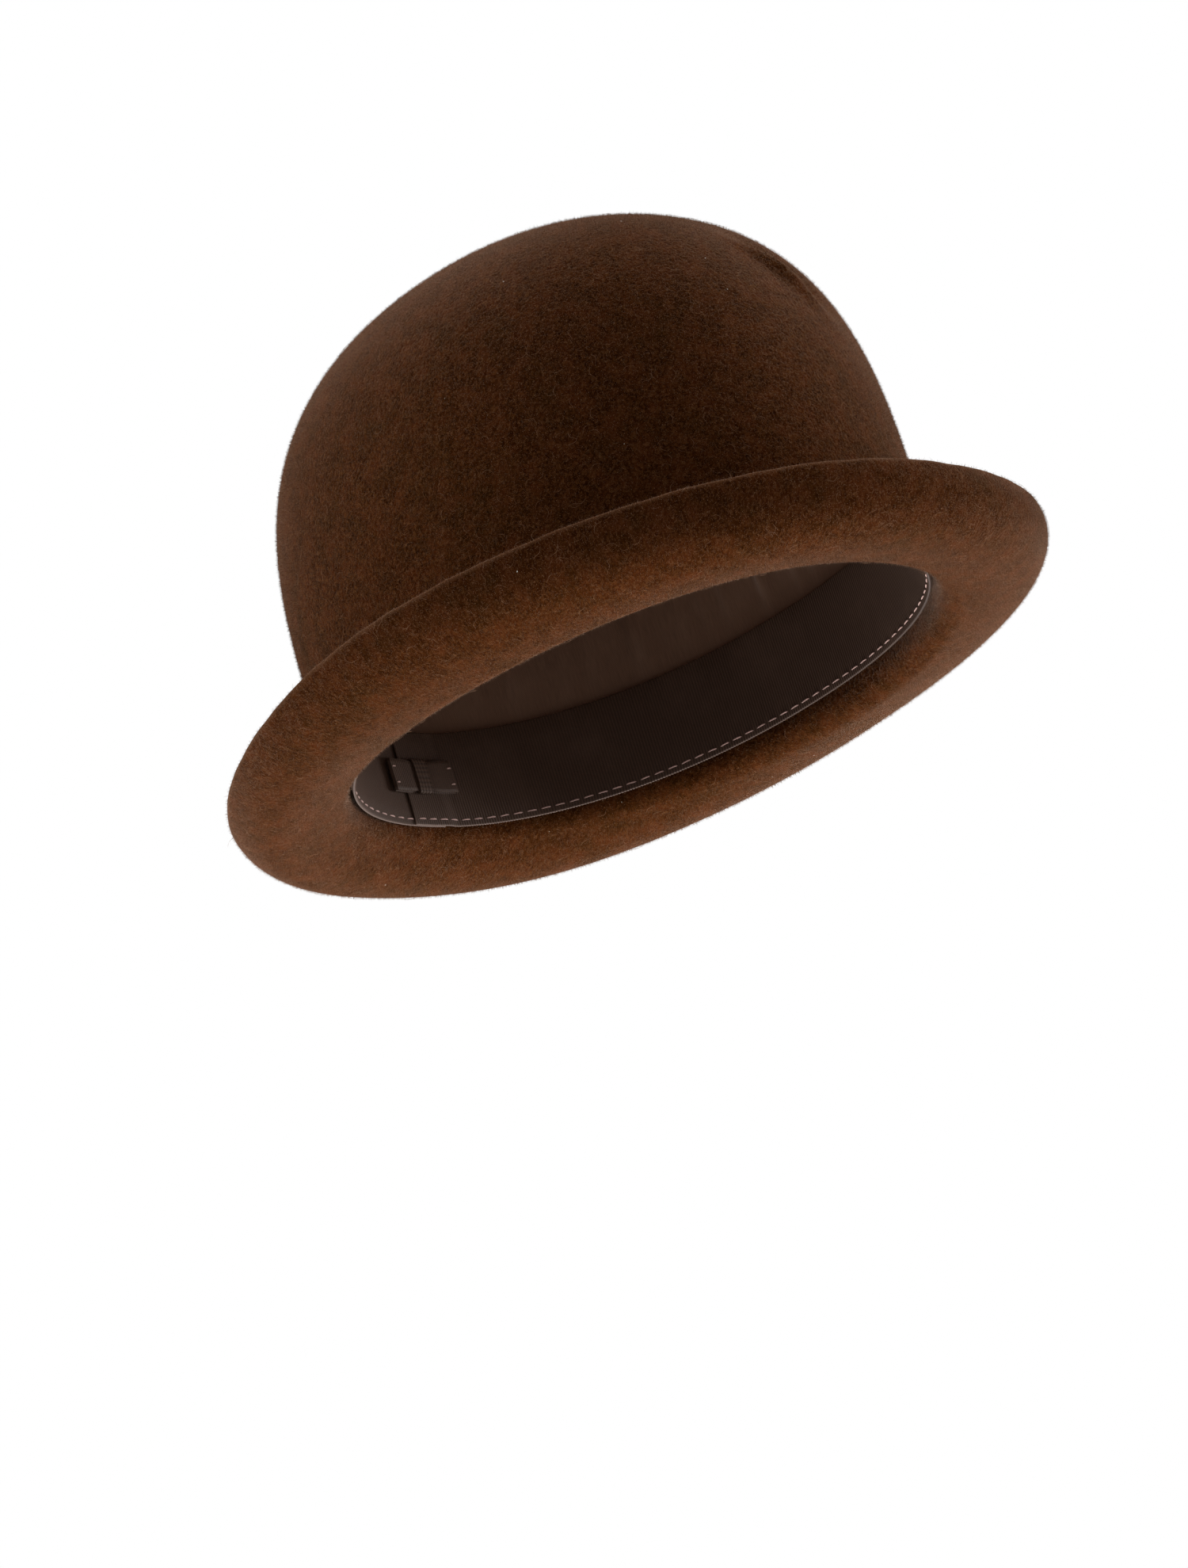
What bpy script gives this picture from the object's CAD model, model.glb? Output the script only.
import math

import bmesh
import bpy
import numpy as np
from mathutils import Matrix, Vector


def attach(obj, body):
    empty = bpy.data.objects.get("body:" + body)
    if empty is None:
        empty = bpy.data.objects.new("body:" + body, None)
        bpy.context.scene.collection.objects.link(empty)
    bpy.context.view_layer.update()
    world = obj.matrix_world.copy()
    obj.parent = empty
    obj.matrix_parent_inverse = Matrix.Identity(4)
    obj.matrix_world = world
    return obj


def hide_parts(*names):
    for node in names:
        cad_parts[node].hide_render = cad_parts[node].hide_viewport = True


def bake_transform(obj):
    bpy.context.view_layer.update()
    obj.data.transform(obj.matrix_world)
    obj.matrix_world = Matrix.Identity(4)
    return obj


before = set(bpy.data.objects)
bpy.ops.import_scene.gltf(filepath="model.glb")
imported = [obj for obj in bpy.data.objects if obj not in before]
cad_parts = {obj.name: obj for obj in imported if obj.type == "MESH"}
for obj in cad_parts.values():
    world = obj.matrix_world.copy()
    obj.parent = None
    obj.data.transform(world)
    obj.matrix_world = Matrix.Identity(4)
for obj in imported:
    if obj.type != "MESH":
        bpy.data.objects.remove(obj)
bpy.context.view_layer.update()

mm = 0.001
fullTurn = 2 * math.pi
print("bowler hat: the frame is in place")


# the hat's own shape, in millimetres, front at -Y; three values are front, side and back
hatShape = {
    "halfLength": 102.5,  # of the head opening, at the middle of the felt
    "halfWidth": 83.5,
    "ovalPower": 2.12,
    "felt": 2.6,
    "crownHeight": 145,
    "wallPower": 3.9,
    "topPower": 2.17,
    "wallLean": 0.04,
    "rise": (0, 0, 4),
    "foldRadius": 6,
    "brimLength": (42, 38.5, 38),
    "brimDip": (-13, 3, -38),
    "brimCurl": (118, 79, 76),
    "curlPower": 1.9,
}


def roundHat(values, angle):  # an even change from the front to the side to the back
    front, side, back = values
    even = (front + back + 2 * side) / 4
    return even - (front - back) / 2 * np.sin(angle) - (front + back - 2 * side) / 4 * np.cos(2 * angle)


def ovalRadius(angle):
    power = hatShape["ovalPower"]
    across = np.abs(np.cos(angle) / hatShape["halfWidth"]) ** power
    along = np.abs(np.sin(angle) / hatShape["halfLength"]) ** power
    return (across + along) ** (-1 / power)


def crownPoints(angle, up):  # radius and height of the middle of the felt, up is 1 at the top
    share = np.clip(1 - up ** hatShape["wallPower"], 0, 1) ** (1 / hatShape["topPower"])
    radius = ovalRadius(angle)[:, None] * share * (1 + hatShape["wallLean"] * up)
    lift = roundHat(hatShape["rise"], angle)[:, None]
    return radius, lift * (1 - up) ** 2 + hatShape["crownHeight"] * up


def brimPoints(angle, foldParts, brimParts):
    dip = np.radians(roundHat(hatShape["brimDip"], angle))[:, None]
    curl = np.radians(roundHat(hatShape["brimCurl"], angle))[:, None]
    lift = roundHat(hatShape["rise"], angle)[:, None]
    turn = -math.pi / 2 + (dip + math.pi / 2) * np.linspace(0, 1, foldParts + 1)[1:]
    foldR = ovalRadius(angle)[:, None] + hatShape["foldRadius"] * (np.sin(turn) + 1)
    foldZ = lift - hatShape["foldRadius"] * np.cos(turn)
    slope = dip + (curl - dip) * np.linspace(0, 1, brimParts + 1) ** hatShape["curlPower"]
    middle = (slope[:, 1:] + slope[:, :-1]) / 2
    step = roundHat(hatShape["brimLength"], angle)[:, None] / brimParts
    brimR = foldR[:, -1:] + np.cumsum(np.cos(middle) * step, 1)
    brimZ = foldZ[:, -1:] + np.cumsum(np.sin(middle) * step, 1)
    return np.hstack([foldR, brimR]), np.hstack([foldZ, brimZ])


def outwards(radius, height):  # unit normals of a profile that runs from the top outwards
    alongR, alongZ = np.diff(radius, axis=1), np.diff(height, axis=1)
    size = np.hypot(alongR, alongZ) + 1e-9
    alongR, alongZ = alongR / size, alongZ / size
    tangentR = np.hstack([alongR[:, :1], alongR[:, 1:] + alongR[:, :-1], alongR[:, -1:]])
    tangentZ = np.hstack([alongZ[:, :1], alongZ[:, 1:] + alongZ[:, :-1], alongZ[:, -1:]])
    size = np.hypot(tangentR, tangentZ) + 1e-9
    return -tangentZ / size, tangentR / size


def around(angle, radius, height):
    return np.stack([radius * np.cos(angle)[:, None], radius * np.sin(angle)[:, None], height], -1)


def layerAt(angle, radius, height, out):
    normalR, normalZ = outwards(radius, height)
    return around(angle, radius + out * normalR, height + out * normalZ)


handMarks = {  # a soft crease where the crown was picked up; the lining follows it
    "into": (-0.15, 0.85, -0.50),
    "run": (0.55, -0.28, -0.79),
    "through": 30,  # how far the marks reach into the crown
    "ridge": {"place": (8.8, -95.5, 97.5), "length": 14, "width": 3.0, "depth": -2.6},
    "hollow": {"place": (17, -92.6, 101), "length": 15, "width": 4.8, "depth": 3.7},
}


def marked(points):
    moved = points.copy()
    inward = np.array(handMarks["into"]) / np.linalg.norm(handMarks["into"])
    run = np.array(handMarks["run"])
    run = run - run @ inward * inward
    run /= np.linalg.norm(run)
    side = np.cross(inward, run)
    for mark in (handMarks["ridge"], handMarks["hollow"]):
        offset = points - np.array(mark["place"], float)
        shape = (offset @ run / mark["length"]) ** 2 + (offset @ side / mark["width"]) ** 2
        through = (offset @ inward / handMarks["through"]) ** 2
        moved += inward * (mark["depth"] * np.exp(-shape - through))[..., None]
    return moved


brimUnevenness = {  # how often round the brim, how many millimetres, and where it starts
    "height": (
        (2, 0.15, 0.2), (3, 0.23, 1.5), (4, 0.33, 1.4), (5, 0.26, -3.1), (6, 0.18, -2.0), (8, 0.15, 0.5)
    ),
    "reach": ((2, 0.13, -1.4), (5, 0.11, -1.8), (6, 0.13, -0.2)),
    "cut": ((23, 0.08, 1.0), (41, 0.06, 3.0), (67, 0.05, 0.0)),
}


def unevenness(angle, kind):
    return sum(size * np.cos(often * angle + start) for often, size, start in brimUnevenness[kind])


def waved(points, angle, share):  # a hand-curled brim; share is 0 at the fold, 1 at the edge
    reach = unevenness(angle, "reach")[:, None] * share
    points[..., 0] += np.cos(angle)[:, None] * reach
    points[..., 1] += np.sin(angle)[:, None] * reach
    points[..., 2] += unevenness(angle, "height")[:, None] * share
    points[..., 2] += unevenness(angle, "cut")[:, None] * share ** 12
    return points


def meshPiece(name, points, faces, edges=()):  # points in millimetres
    mesh = bpy.data.meshes.new(name)
    mesh.from_pydata([tuple(p) for p in np.asarray(points) * mm], edges, faces)
    mesh.validate()
    piece = bpy.data.objects.new(name, mesh)
    bpy.context.scene.collection.objects.link(piece)
    mesh.polygons.foreach_set("use_smooth", [True] * len(mesh.polygons))
    return piece


def sweep(rows, poles=False, closedRow=True, closedRound=True):
    # rows[j][k]: strips side by side; each strip runs down the outside and back up the inside
    count, wide = rows.shape[0], rows.shape[1]
    points = rows.reshape(-1, 3)
    faces = []
    for j in range(count if closedRound else count - 1):
        here, there = j * wide, (j + 1) % count * wide
        for k in range(wide if closedRow else wide - 1):
            k2 = (k + 1) % wide
            faces.append((here + k, here + k2, there + k2, there + k))
    if poles:
        top = points.shape[0]
        points = np.vstack([points, rows[:, 0].mean(0), rows[:, -1].mean(0)])
        for j in range(count):
            here, there = j * wide, (j + 1) % count * wide
            faces.append((top, here, there))
            faces.append((top + 1, there + wide - 1, here + wide - 1))
    if not closedRound:
        faces.append(tuple(range(wide))[::-1])
        faces.append(tuple((count - 1) * wide + k for k in range(wide)))
    return points, faces


def shellPiece(name, shape):  # a closed shell from its points and faces, turned outwards
    piece = meshPiece(name, *shape)
    shell = bmesh.new()
    shell.from_mesh(piece.data)
    bmesh.ops.recalc_face_normals(shell, faces=shell.faces)
    shell.to_mesh(piece.data)
    shell.free()
    return piece


def giveUv(piece, name, values, wholeTurn=(0, 0)):  # values: one (u, v) for each vertex, in metres
    layer = piece.data.uv_layers.new(name=name)
    corner = np.zeros(len(piece.data.loops), np.int32)
    piece.data.loops.foreach_get("vertex_index", corner)
    uv = np.asarray(values, np.float32)[corner]
    start = np.zeros(len(piece.data.polygons), np.int32)
    sides = np.zeros(len(piece.data.polygons), np.int32)
    piece.data.polygons.foreach_get("loop_start", start)
    piece.data.polygons.foreach_get("loop_total", sides)
    for axis, turn in enumerate(wholeTurn):  # a face that closes a ring ends a whole turn on
        if turn:
            furthest = np.repeat(np.maximum.reduceat(uv[:, axis], start), sides)
            uv[:, axis] += turn * (uv[:, axis] < furthest - turn / 2)
    layer.data.foreach_set("uv", uv.ravel())


def giveGridUv(piece, u, v, wholeTurn=(0, 0)):  # u and v in millimetres, for rows of points
    uv = np.stack(np.broadcast_arrays(u, v), -1) * mm
    giveUv(piece, "weave", uv.reshape(-1, 2), wholeTurn)


def giveValue(piece, name, values):
    attribute = piece.data.attributes.new(name, "FLOAT", "POINT")
    attribute.data.foreach_set("value", np.asarray(values, np.float32))


def giveVector(piece, name, values):
    attribute = piece.data.attributes.new(name, "FLOAT_VECTOR", "POINT")
    attribute.data.foreach_set("vector", np.asarray(values, np.float32).ravel())


def finishPiece(piece, material, node, body="hat"):
    if material is not None:
        piece.data.materials.clear()
        piece.data.materials.append(material)
    if node:
        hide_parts(*([node] if isinstance(node, str) else node))
    if body:
        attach(piece, body)
    return piece


class Wire:  # one output socket, so that sums of wires add Math nodes
    def __init__(self, recipe, socket):
        self.recipe, self.socket = recipe, socket

    def sum(self, operation, first, second=None):
        inputs = {0: first} if second is None else {0: first, 1: second}
        return self.recipe.add("ShaderNodeMath", {"operation": operation}, inputs)

    def __add__(self, other):
        return self.sum("ADD", self, other)

    def __radd__(self, other):
        return self.sum("ADD", other, self)

    def __sub__(self, other):
        return self.sum("SUBTRACT", self, other)

    def __rsub__(self, other):
        return self.sum("SUBTRACT", other, self)

    def __mul__(self, other):
        return self.sum("MULTIPLY", self, other)

    def __rmul__(self, other):
        return self.sum("MULTIPLY", other, self)

    def __truediv__(self, other):
        return self.sum("DIVIDE", self, other)

    def __pow__(self, other):
        return self.sum("POWER", self, other)

    def sine(self):
        return self.sum("SINE", self)

    def positive(self):
        return self.sum("ABSOLUTE", self)

    def above(self, limit):
        return self.sum("GREATER_THAN", self, limit)

    def within(self, low, high):  # 0 at low, 1 at high
        return self.recipe.add(
            "ShaderNodeMapRange", {"clamp": True}, {"Value": self, "From Min": low, "From Max": high}
        )


class Recipe:
    def __init__(self, name):
        self.material = bpy.data.materials.new(name)
        self.material.use_nodes = True
        self.tree = self.material.node_tree
        self.tree.nodes.clear()

    def add(self, kind, settings=None, inputs=None, out=0):
        node = self.tree.nodes.new(kind)
        for key, value in (settings or {}).items():
            if key == "stops":
                ramp = node.color_ramp
                while len(ramp.elements) < len(value):
                    ramp.elements.new(0.5)
                for element, (place, colour) in zip(ramp.elements, value):
                    element.position = place
                    element.color = (*colour, 1)
            else:
                setattr(node, key, value)
        for key, value in (inputs or {}).items():
            if isinstance(value, Wire):
                self.tree.links.new(value.socket, node.inputs[key])
            else:
                node.inputs[key].default_value = value
        return Wire(self, node.outputs[out]) if len(node.outputs) else None

    def place(self):
        return self.add("ShaderNodeTexCoord", out="Object")

    def surface(self, name):
        return self.add("ShaderNodeUVMap", {"uv_map": name})

    def attribute(self, name):
        return self.add("ShaderNodeAttribute", {"attribute_name": name}, out="Fac")

    def stretched(self, vector, scale):
        return self.add("ShaderNodeMapping", {}, {"Vector": vector, "Scale": scale})

    def parts(self, vector):  # the two ways of a weave
        return [self.add("ShaderNodeSeparateXYZ", {}, {"Vector": vector}, out=k) for k in (0, 1)]

    def noise(self, vector, scale, detail=2, roughness=0.5, twist=0):
        return self.add("ShaderNodeTexNoise", {}, {
            "Vector": vector, "Scale": scale, "Detail": detail, "Roughness": roughness,
            "Distortion": twist,
        })

    def mixed(self, share, first, second):
        return self.add("ShaderNodeMix", {"data_type": "RGBA"}, {0: share, 6: first, 7: second}, out=2)

    def bumped(self, height, distance, strength=1.0):
        return self.add("ShaderNodeBump", {}, {
            "Height": height, "Distance": distance, "Strength": strength,
        })

    def finish(self, inputs):
        surface = self.add("ShaderNodeBsdfPrincipled", {}, inputs)
        self.add("ShaderNodeOutputMaterial", {}, {"Surface": surface})
        return self.material


def rgb(red, green, blue):
    return (red, green, blue, 1.0)


feltLook = {
    "deep": rgb(0.0100, 0.0020, 0.0003),
    "brown": rgb(0.0400, 0.0117, 0.0025),
    "warm": rgb(0.092, 0.041, 0.0155),
    "olive": rgb(0.019, 0.0090, 0.0016),
    "rust": rgb(0.074, 0.0170, 0.0048),
    "hair": rgb(0.150, 0.072, 0.034),
    "cut": rgb(0.084, 0.039, 0.019),
    "sheen": 0.24,
    "sheenColour": rgb(0.92, 0.68, 0.54),
    "sheenRoughness": 0.2,
    "cloud": 55,  # patches for each metre, from the largest kind to the smallest
    "patch": 170,
    "hairs": 420,
    "hairPatch": 700,
    "clump": 950,
    "fibre": 2900,
    "relief": 0.4 * mm,
}


def feltMaterial():
    recipe = Recipe("brushed wool felt")
    place = recipe.place()
    along = recipe.stretched(recipe.surface("felt"), (1.0, 0.3, 1.0))
    brim = recipe.attribute("brimShare")
    cut = recipe.attribute("cutEdge")
    cloud = recipe.noise(place, feltLook["cloud"], 3, 0.6)
    patchy = recipe.noise(place, feltLook["patch"], 2, 0.55)
    clump = recipe.noise(place, feltLook["clump"], 3, 0.7, 0.8)
    fibre = recipe.noise(place, feltLook["fibre"], 2, 0.6, 1.2)
    streak = recipe.noise(along, feltLook["clump"] * 2, 3, 0.65, 0.4)
    nap = clump.within(0.33, 0.67) * (1 - brim * 0.6) + streak.within(0.33, 0.67) * brim * 0.6
    tone = nap * 0.62 + fibre.within(0.3, 0.7) * 0.3 + patchy.within(0.35, 0.65) * 0.08
    body = recipe.mixed(tone.within(0.12, 0.6), feltLook["deep"], feltLook["brown"])
    body = recipe.mixed(tone.within(0.52, 0.95) * 0.85, body, feltLook["warm"])
    body = recipe.mixed(cloud.within(0.45, 0.75) * 0.35, body, feltLook["olive"])
    body = recipe.mixed(patchy.within(0.42, 0.72) * 0.32, body, feltLook["rust"])
    curl = recipe.noise(place, feltLook["hairs"], 2, 0.5, 2.5)
    patch = recipe.noise(place, feltLook["hairPatch"], 1, 0.5).within(0.5, 0.6)
    hair = (1 - ((curl - 0.5).positive() * 48)).within(0.0, 1.0) * patch
    body = recipe.mixed(hair * 0.7, body, feltLook["hair"])
    colour = recipe.mixed(cut * (0.35 + nap * 0.5), body, feltLook["cut"])
    height = nap * 0.6 + fibre * 0.25 + hair * 0.15
    return recipe.finish({
        "Base Color": colour,
        "Roughness": 0.95 - tone * 0.1,
        "Specular IOR Level": 0.0,
        "Sheen Weight": feltLook["sheen"],
        "Sheen Roughness": feltLook["sheenRoughness"],
        "Sheen Tint": feltLook["sheenColour"],
        "Normal": recipe.bumped(height, feltLook["relief"]),
    })


hoodMesh = {
    "columns": 360, "crownRings": 100, "foldRings": 12, "brimRings": 40, "edgeRings": 4,
    "insideStep": 4,  # the hidden inside of the crown has one ring in this many,
    "insideFrom": 6,  # from this many rings above the fold
    "edgeRound": 0.8,  # mm that the cut edge bulges
    "cutShare": 0.985,  # of the brim, beyond which the felt shows its cut tone
    "brimRamp": 3,  # how soon on the brim its own combed tone takes over
    "denseAt": -1.4, "denser": 0.35,  # columns stand closer together at the crease
    "spread": 0.095,  # metres of pattern for each radian round the hat
}


def makeHood():
    angle = np.linspace(0, fullTurn, hoodMesh["columns"], endpoint=False)
    angle = angle - hoodMesh["denser"] * np.sin(angle - hoodMesh["denseAt"])
    up = np.sin(np.linspace(1, 0, hoodMesh["crownRings"] + 1) * math.pi / 2)
    crownR, crownZ = crownPoints(angle, up)
    brimR, brimZ = brimPoints(angle, hoodMesh["foldRings"], hoodMesh["brimRings"])
    radius, height = np.hstack([crownR, brimR])[:, 1:], np.hstack([crownZ, brimZ])[:, 1:]
    half = hatShape["felt"] / 2
    normalR, normalZ = outwards(radius, height)
    outer = np.stack([radius + half * normalR, height + half * normalZ], -1)
    inner = np.stack([radius - half * normalR, height - half * normalZ], -1)
    edgeR = np.stack([normalR[:, -1], normalZ[:, -1]], -1)
    forward = np.stack([normalZ[:, -1], -normalR[:, -1]], -1)
    middle = np.stack([radius[:, -1], height[:, -1]], -1)
    edge = []
    for k in range(1, hoodMesh["edgeRings"] + 1):
        turn = math.pi * k / (hoodMesh["edgeRings"] + 1)
        bulge = forward * hoodMesh["edgeRound"] * math.sin(turn)
        edge.append(middle + edgeR * half * math.cos(turn) + bulge)
    flare = hoodMesh["foldRings"] + hoodMesh["brimRings"]
    share = np.clip((np.arange(radius.shape[1]) + 1 - hoodMesh["crownRings"]) / flare, 0, 1)
    inside = np.arange(radius.shape[1] - 1, -1, -1)
    crownPart = inside < hoodMesh["crownRings"] - hoodMesh["insideFrom"]
    inside = np.concatenate([inside[~crownPart], inside[crownPart][::hoodMesh["insideStep"]]])
    if inside[-1] != 0:
        inside = np.append(inside, 0)
    profile = np.concatenate([outer, np.stack(edge, 1), inner[:, inside]], 1)
    shares = np.concatenate([share, np.ones(hoodMesh["edgeRings"]), share[inside]])
    points = around(angle, profile[..., 0], profile[..., 1])
    points = waved(marked(points), angle, shares[None, :])
    steps = np.linalg.norm(np.diff(profile[0], axis=0), axis=1)
    length = np.concatenate([[0], np.cumsum(steps)]) * mm
    allPoints, faces = sweep(points, poles=True, closedRow=False)
    piece = meshPiece("felt_hood_blocked", allPoints, faces)
    spread = np.repeat(angle[:, None] * hoodMesh["spread"], profile.shape[1], 1)
    uv = np.stack([spread, np.repeat(length[None], len(angle), 0)], -1).reshape(-1, 2)
    uv = np.vstack([uv, [[0, 0], [0, length[-1]]]])
    giveUv(piece, "felt", uv, (fullTurn * hoodMesh["spread"], 0))
    brimShare = np.repeat(np.clip(shares * hoodMesh["brimRamp"], 0, 1)[None], len(angle), 0).ravel()
    giveValue(piece, "brimShare", np.append(brimShare, [0, 0]))
    inwards = np.stack([-np.cos(angle), -np.sin(angle), 0 * angle], -1)
    comb = np.repeat(inwards[:, None], profile.shape[1], 1)
    giveVector(piece, "comb", np.vstack([comb.reshape(-1, 3), [[1, 0, 0], [1, 0, 0]]]))
    cut = np.repeat((shares > hoodMesh["cutShare"])[None].astype(float), len(angle), 0).ravel()
    giveValue(piece, "cutEdge", np.append(cut, [0, 0]))
    side = np.concatenate([np.ones(len(share) + 2), np.zeros(len(inside) + hoodMesh["edgeRings"] - 2)])
    outside = np.append(np.repeat(side[None], len(angle), 0).ravel(), [1, 0]) > 0.5
    onBrim = np.append(brimShare, [0, 0]) > 0.01
    giveValue(piece, "napPart", np.where(outside, onBrim * 1.0, np.where(onBrim, 2.0, 5.0)))
    return piece


felt = feltMaterial()
hood = makeHood()
print("bowler hat: the hood is blocked,", len(hood.data.polygons), "faces")


class Growth:  # a Geometry Nodes tree with named inputs
    def __init__(self, name, inputs):
        self.tree = bpy.data.node_groups.new(name, "GeometryNodeTree")
        self.tree.interface.new_socket("Geometry", in_out="INPUT", socket_type="NodeSocketGeometry")
        for label, kind in inputs.items():
            self.tree.interface.new_socket(label, in_out="INPUT", socket_type=kind)
        self.tree.interface.new_socket("Geometry", in_out="OUTPUT", socket_type="NodeSocketGeometry")
        self.start = self.tree.nodes.new("NodeGroupInput")
        self.end = self.tree.nodes.new("NodeGroupOutput")

    def given(self, label):
        return self.start.outputs[label]

    def add(self, kind, settings=None, inputs=None, out=0):
        node = self.tree.nodes.new(kind)
        for key, value in (settings or {}).items():
            setattr(node, key, value)
        for key, value in (inputs or {}).items():
            if isinstance(value, bpy.types.NodeSocket):
                self.tree.links.new(value, node.inputs[key])
            else:
                node.inputs[key].default_value = value
        return node if out is None else node.outputs[out]

    def anywhere(self, low, high, seed):  # a random value for each point
        return self.add(
            "FunctionNodeRandomValue", {"data_type": "FLOAT"}, {2: low, 3: high, "Seed": seed}, out=1
        )

    def compared(self, operation, value, limit):
        return self.add("FunctionNodeCompare", {"operation": operation}, {0: value, 1: limit})

    def times(self, first, second):
        return self.add("ShaderNodeMath", {"operation": "MULTIPLY"}, {0: first, 1: second})

    def turned(self, x=0.0, y=0.0, z=0.0):  # a rotation from angles round the three axes
        angles = self.add("ShaderNodeCombineXYZ", {}, {"X": x, "Y": y, "Z": z})
        return self.add("FunctionNodeEulerToRotation", {}, {0: angles})

    def close(self, geometry):  # every tree ends in real geometry with its material
        real = self.add("GeometryNodeRealizeInstances", {}, {"Geometry": geometry})
        painted = self.add(
            "GeometryNodeSetMaterial", {}, {"Geometry": real, "Material": self.given("Material")}
        )
        self.tree.links.new(painted, self.end.inputs["Geometry"])

    def grow(self, name, base, values):  # runs the tree on base and gives back a plain mesh piece
        loose = base.name not in bpy.context.scene.collection.objects
        if loose:
            bpy.context.scene.collection.objects.link(base)
        modifier = base.modifiers.new(self.tree.name, "NODES")
        modifier.node_group = self.tree
        for item in self.tree.interface.items_tree:
            if item.in_out == "INPUT" and item.name in values:
                modifier[item.identifier] = values[item.name]
        graph = bpy.context.evaluated_depsgraph_get()
        mesh = bpy.data.meshes.new_from_object(base.evaluated_get(graph), depsgraph=graph)
        mesh.name = name
        base.modifiers.remove(modifier)
        if loose:
            bpy.data.objects.remove(base)
        piece = bpy.data.objects.new(name, mesh)
        bpy.context.scene.collection.objects.link(piece)
        return piece


def hiddenPart(piece):  # a pattern piece that only the trees use
    bpy.context.scene.collection.objects.unlink(piece)
    return piece


napLook = {  # in millimetres
    "root": -0.1,  # how deep a fibre starts
    "nap": {"length": 1.35, "width": 0.09, "bow": 0.28},
    "fuzz": {"length": 0.75, "width": 0.12, "bow": 0.16},
    "stray": {"length": 4.4, "curl": 1.2, "lift": 0.45, "thickness": 0.085},
    "lint": {"radius": 0.16, "lift": 0.12, "stretch": 1.6},
}


def fibreMesh():  # one bent blade
    long, wide, bow = (napLook["nap"][key] for key in ("length", "width", "bow"))
    points = [
        (-wide / 2, 0, napLook["root"]), (wide / 2, 0, napLook["root"]),
        (-wide / 3, long * 0.06, long / 2), (wide / 3, long * 0.06, long / 2),
        (0, long * bow, long),
    ]
    return hiddenPart(meshPiece("fibre", points, [(0, 1, 3, 2), (2, 3, 4)]))


def fuzzMesh():  # one upright hair-thin blade
    long, wide, bow = (napLook["fuzz"][key] for key in ("length", "width", "bow"))
    points = [(-wide / 2, 0, napLook["root"]), (wide / 2, 0, napLook["root"]), (0, long * bow, long)]
    return hiddenPart(meshPiece("fuzz", points, [(0, 1, 2)]))


def curlMesh():  # a loose hair that lies in an open curl
    look = napLook["stray"]
    along = np.linspace(0, 1, 9)
    centre = np.stack([
        look["length"] * along, look["curl"] * np.sin(4.6 * along) * along,
        -napLook["root"] + look["lift"] * np.sin(math.pi * along) ** 0.7,
    ], -1)
    thick = look["thickness"] / 2 * (1 - 0.6 * np.abs(2 * along - 1) ** 3)
    turn = np.array([0, 1, 2]) * fullTurn / 3
    circle = np.stack([0 * turn, np.cos(turn), np.sin(turn)], -1)
    rows = centre[:, None] + thick[:, None, None] * circle[None]
    return hiddenPart(shellPiece("curl", sweep(rows, closedRound=False)))


def lintMesh():  # a crumpled speck
    look = napLook["lint"]
    speck = bmesh.new()
    bmesh.ops.create_icosphere(speck, subdivisions=1, radius=look["radius"] * mm)
    for k, vertex in enumerate(speck.verts):
        vertex.co *= 0.7 + 0.5 * abs(math.sin(3.7 * k))
        vertex.co.x *= look["stretch"]
        vertex.co.z += look["lift"] * mm
    mesh = bpy.data.meshes.new("lint")
    speck.to_mesh(mesh)
    speck.free()
    return bpy.data.objects.new("lint", mesh)


def napTree():
    tree = Growth("felt nap", {
        "Fibre": "NodeSocketObject", "Density": "NodeSocketFloat", "Lean": "NodeSocketFloat",
        "Spread": "NodeSocketFloat", "Seed": "NodeSocketInt", "Material": "NodeSocketMaterial",
        "Low": "NodeSocketFloat", "High": "NodeSocketFloat",
    })
    part = tree.add("GeometryNodeInputNamedAttribute", {"data_type": "FLOAT"}, {"Name": "napPart"})
    overLow = tree.compared("GREATER_THAN", part, tree.given("Low"))
    underHigh = tree.compared("LESS_THAN", part, tree.given("High"))
    chosen = tree.add("FunctionNodeBooleanMath", {"operation": "AND"}, {0: overLow, 1: underHigh})
    spread = tree.add("GeometryNodeDistributePointsOnFaces", {"distribute_method": "RANDOM"}, {
        "Mesh": tree.given("Geometry"), "Selection": chosen,
        "Density": tree.given("Density"), "Seed": tree.given("Seed"),
    }, out=None)
    comb = tree.add("GeometryNodeInputNamedAttribute", {"data_type": "FLOAT_VECTOR"}, {"Name": "comb"})
    combed = tree.add(
        "FunctionNodeAlignRotationToVector", {"axis": "Y", "pivot_axis": "Z"},
        {"Rotation": spread.outputs["Rotation"], "Vector": comb},
    )
    turn = tree.times(tree.anywhere(-1.0, 1.0, 11), tree.given("Spread"))
    lean = tree.times(tree.anywhere(0.55, 1.15, 12), tree.given("Lean"))
    local = {"rotation_space": "LOCAL"}
    standing = tree.add("FunctionNodeRotateRotation", local, {0: combed, 1: tree.turned(z=turn)})
    leaning = tree.add("FunctionNodeRotateRotation", local, {0: standing, 1: tree.turned(x=lean)})
    size = tree.anywhere(0.45, 1.0, 13)
    fibre = tree.add("GeometryNodeObjectInfo", {}, {"Object": tree.given("Fibre")}, out="Geometry")
    fibres = tree.add("GeometryNodeInstanceOnPoints", {}, {
        "Points": spread.outputs["Points"], "Instance": fibre, "Rotation": leaning, "Scale": size,
    })
    tree.close(fibres)
    return tree


def napMaterial(name, colour):  # one fibre has one tone; the way the fibres lie gives the mottling
    return Recipe(name).finish({"Base Color": colour, "Roughness": 0.9, "Specular IOR Level": 0.05})


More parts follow.
